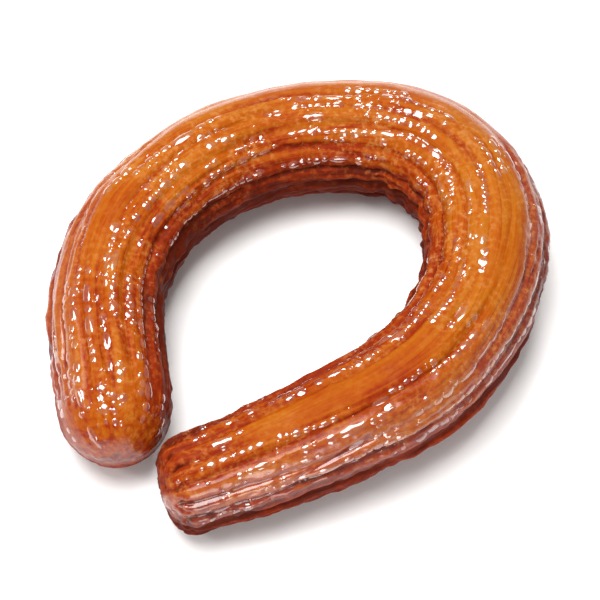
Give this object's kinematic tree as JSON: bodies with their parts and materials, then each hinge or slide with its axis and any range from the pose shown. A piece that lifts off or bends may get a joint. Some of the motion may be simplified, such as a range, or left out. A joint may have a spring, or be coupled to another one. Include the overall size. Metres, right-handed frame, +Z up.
{
  "type": "syrup-soaked fried dough ring",
  "caption": "Ridged rope of fried dough piped into an almost closed ring and glazed with syrup; it lies flat, its ends nearly meeting.",
  "frame": {"origin": "on the surface that the ring lies on, under the middle of its box", "axes": "+Z up out of the ring's plane, +X to the right and +Y away from the viewer, with the gap between the ends at the near left"},
  "size_m": [0.0966, 0.096, 0.024],
  "materials": {
    "crust": "amber brown crust under a glossy film of syrup"
  },
  "bodies": {
    "root": {"dough_ring": "crust"}
  },
  "joints": []
}
